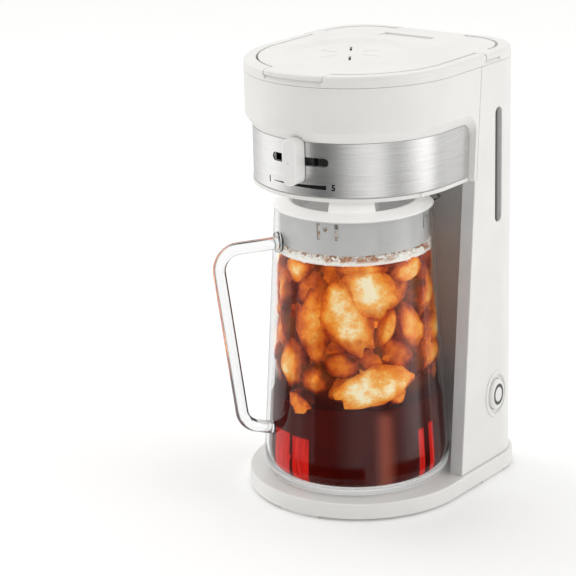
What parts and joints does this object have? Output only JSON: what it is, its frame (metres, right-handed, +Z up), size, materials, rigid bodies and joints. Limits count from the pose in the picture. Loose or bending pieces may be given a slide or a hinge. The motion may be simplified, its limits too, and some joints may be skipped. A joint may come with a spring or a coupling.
{
  "type": "iced tea maker",
  "caption": "Iced tea maker: white rear column and overhanging brewing head with a brushed steel band, strength slider and hinged top lid, over a lidded glass pitcher on a base.",
  "frame": {"origin": "middle of the footprint, on the surface that the feet stand on", "axes": "+Z up, the front with the steel band and the slider faces -Y, the window and button are on +X"},
  "size_m": [0.1672, 0.2098, 0.325],
  "materials": {
    "white_shell": "satin moulded plastic, warm white",
    "white_base": "satin moulded plastic, warm white",
    "white_trim": "satin moulded plastic, warm white",
    "white_lid": "satin moulded plastic, warm white",
    "grey_panel": "fine matt texture, mid grey",
    "band_steel": "brushed along its length",
    "knob_white": "gloss moulded plastic",
    "button_white": "gloss moulded plastic",
    "bezel_white": "satin moulded plastic",
    "ring_dark": "dark ring round the button's centre",
    "window_smoke": "smoked clear plastic",
    "pitcher_clear": "clear, polished",
    "handle_clear": "clear, polished",
    "pitcher_lid_grey": "milky light grey plastic",
    "inner_white": "plain moulded plastic",
    "tank_clear": "translucent plastic",
    "riser_milky": "milky silicone tube",
    "filter_mesh": "fine nylon mesh in a plastic frame",
    "spring_steel": "drawn spring wire",
    "pin_steel": "plain steel",
    "screw_steel": "zinc plated",
    "feet_rubber": "pale matt rubber",
    "bush_rubber": "pale matt rubber",
    "seal_silicone": "milky silicone",
    "hose_silicone": "milky silicone",
    "check_valve_white": "plain moulded plastic",
    "heater_aluminium": "bare extrusion",
    "heater_steel": "heat-tinted tube",
    "switch_black": "black moulded plastic",
    "fuse_ceramic": "white sleeve"
  },
  "bodies": {
    "machine": {"base_shell": "white_base", "base_cover": "inner_white", "base_screws": "screw_steel", "base_feet": "feet_rubber", "column_shell": "white_shell", "niche_panel": "grey_panel", "head_shell": "white_shell", "steel_band": "band_steel", "head_floor": "white_trim", "top_ring": "white_trim", "hinge_pin": "pin_steel", "window_lens": "window_smoke", "button_bezel": "bezel_white", "switch_body": "switch_black", "button_spring": "spring_steel", "cord_bush": "bush_rubber", "selector_guide": "inner_white", "brew_basket": "inner_white", "basket_filter": "filter_mesh", "valve_cap": "inner_white", "valve_spring": "spring_steel", "water_tank": "tank_clear", "riser_grommet": "seal_silicone", "riser_tube": "riser_milky", "spray_arm": "inner_white", "shower_head": "inner_white", "heater_tube": "heater_aluminium", "heater_rod": "heater_steel", "heater_bracket": "pin_steel", "thermostat": "switch_black", "thermal_fuse": "fuse_ceramic", "check_valve": "check_valve_white", "inlet_hose": "hose_silicone", "outlet_hose": "hose_silicone"},
    "top_lid": {"lid": "white_lid"},
    "strength_slider": {"selector_knob": "knob_white", "selector_carrier": "switch_black", "selector_gate": "inner_white"},
    "power_button": {"button_cap": "button_white", "button_ring": "ring_dark"},
    "pitcher": {"pitcher_glass": "pitcher_clear", "pitcher_handle": "handle_clear"},
    "pitcher_cover": {"pitcher_lid": "pitcher_lid_grey"},
    "drip_stop": {"drip_valve": "inner_white", "valve_seal": "seal_silicone"},
    "ball": {"check_ball": "seal_silicone"}
  },
  "joints": [
    {"name": "lid_hinge", "type": "hinge", "parent": "machine", "child": "top_lid", "pos_m": [0, 0.0993, 0.3208], "axis": [-1, 0, 0], "range_deg": [0, 95]},
    {"name": "strength_slide", "type": "hinge", "parent": "machine", "child": "strength_slider", "pos_m": [0, -0.0016, 0.2634], "axis": [0, 0, 1], "range_deg": [-14, 14]},
    {"name": "button_press", "type": "slide", "parent": "machine", "child": "power_button", "axis": [-1, 0, 0], "range_m": [0, 0.0016], "stiffness_N_per_m": 500, "springref_m": -0.001, "deforming": ["button_spring"]},
    {"name": "pitcher_out", "type": "slide", "parent": "machine", "child": "pitcher", "axis": [0, -1, 0], "range_m": [0, 0.25]},
    {"name": "pitcher_lid_turn", "type": "hinge", "parent": "pitcher", "child": "pitcher_cover", "pos_m": [0, -0.0086, 0.217], "axis": [0, 0, 1], "continuous": true},
    {"name": "drip_stop_lift", "type": "slide", "parent": "machine", "child": "drip_stop", "axis": [0, 0, 1], "range_m": [0, 0.003], "stiffness_N_per_m": 150, "springref_m": -0.002, "deforming": ["valve_spring"]},
    {"name": "ball_lift", "type": "slide", "parent": "machine", "child": "ball", "axis": [0, 0, 1], "range_m": [0, 0.002]}
  ]
}
